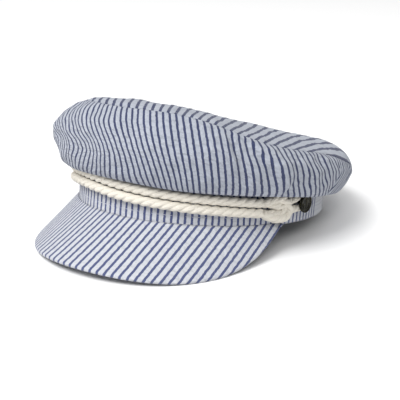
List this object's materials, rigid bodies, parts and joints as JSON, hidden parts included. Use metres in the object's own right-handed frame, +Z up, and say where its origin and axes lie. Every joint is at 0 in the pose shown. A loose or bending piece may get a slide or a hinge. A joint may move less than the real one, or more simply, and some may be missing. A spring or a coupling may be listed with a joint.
{
  "type": "skipper cap",
  "caption": "Skipper cap of striped seersucker: soft overhanging crown on a stiff band, curved peak, twisted rope across the front with side knots and metal side buttons.",
  "frame": {"origin": "on the floor, under the middle of the cap's box as it rests on its peak's low corners and the back of its band", "axes": "+Z up, -Y towards the front where the peak points, +X towards the wearer's left"},
  "size_m": [0.2092, 0.2632, 0.1034],
  "materials": {
    "seersucker": "blue and white striped cotton seersucker, puckered, matt",
    "cotton_rope": "undyed three-strand twisted cotton rope, matt and slightly fuzzy",
    "antique_brass": "dark antique brass, cast, worn lighter on the relief"
  },
  "bodies": {
    "root": {"band": "seersucker", "peak": "seersucker", "crown_front": "seersucker", "crown_back": "seersucker", "crown_top": "seersucker", "rope_upper": "cotton_rope", "rope_lower": "cotton_rope", "knot_left": "cotton_rope", "knot_right": "cotton_rope", "button_left": "antique_brass", "button_right": "antique_brass"}
  },
  "joints": []
}
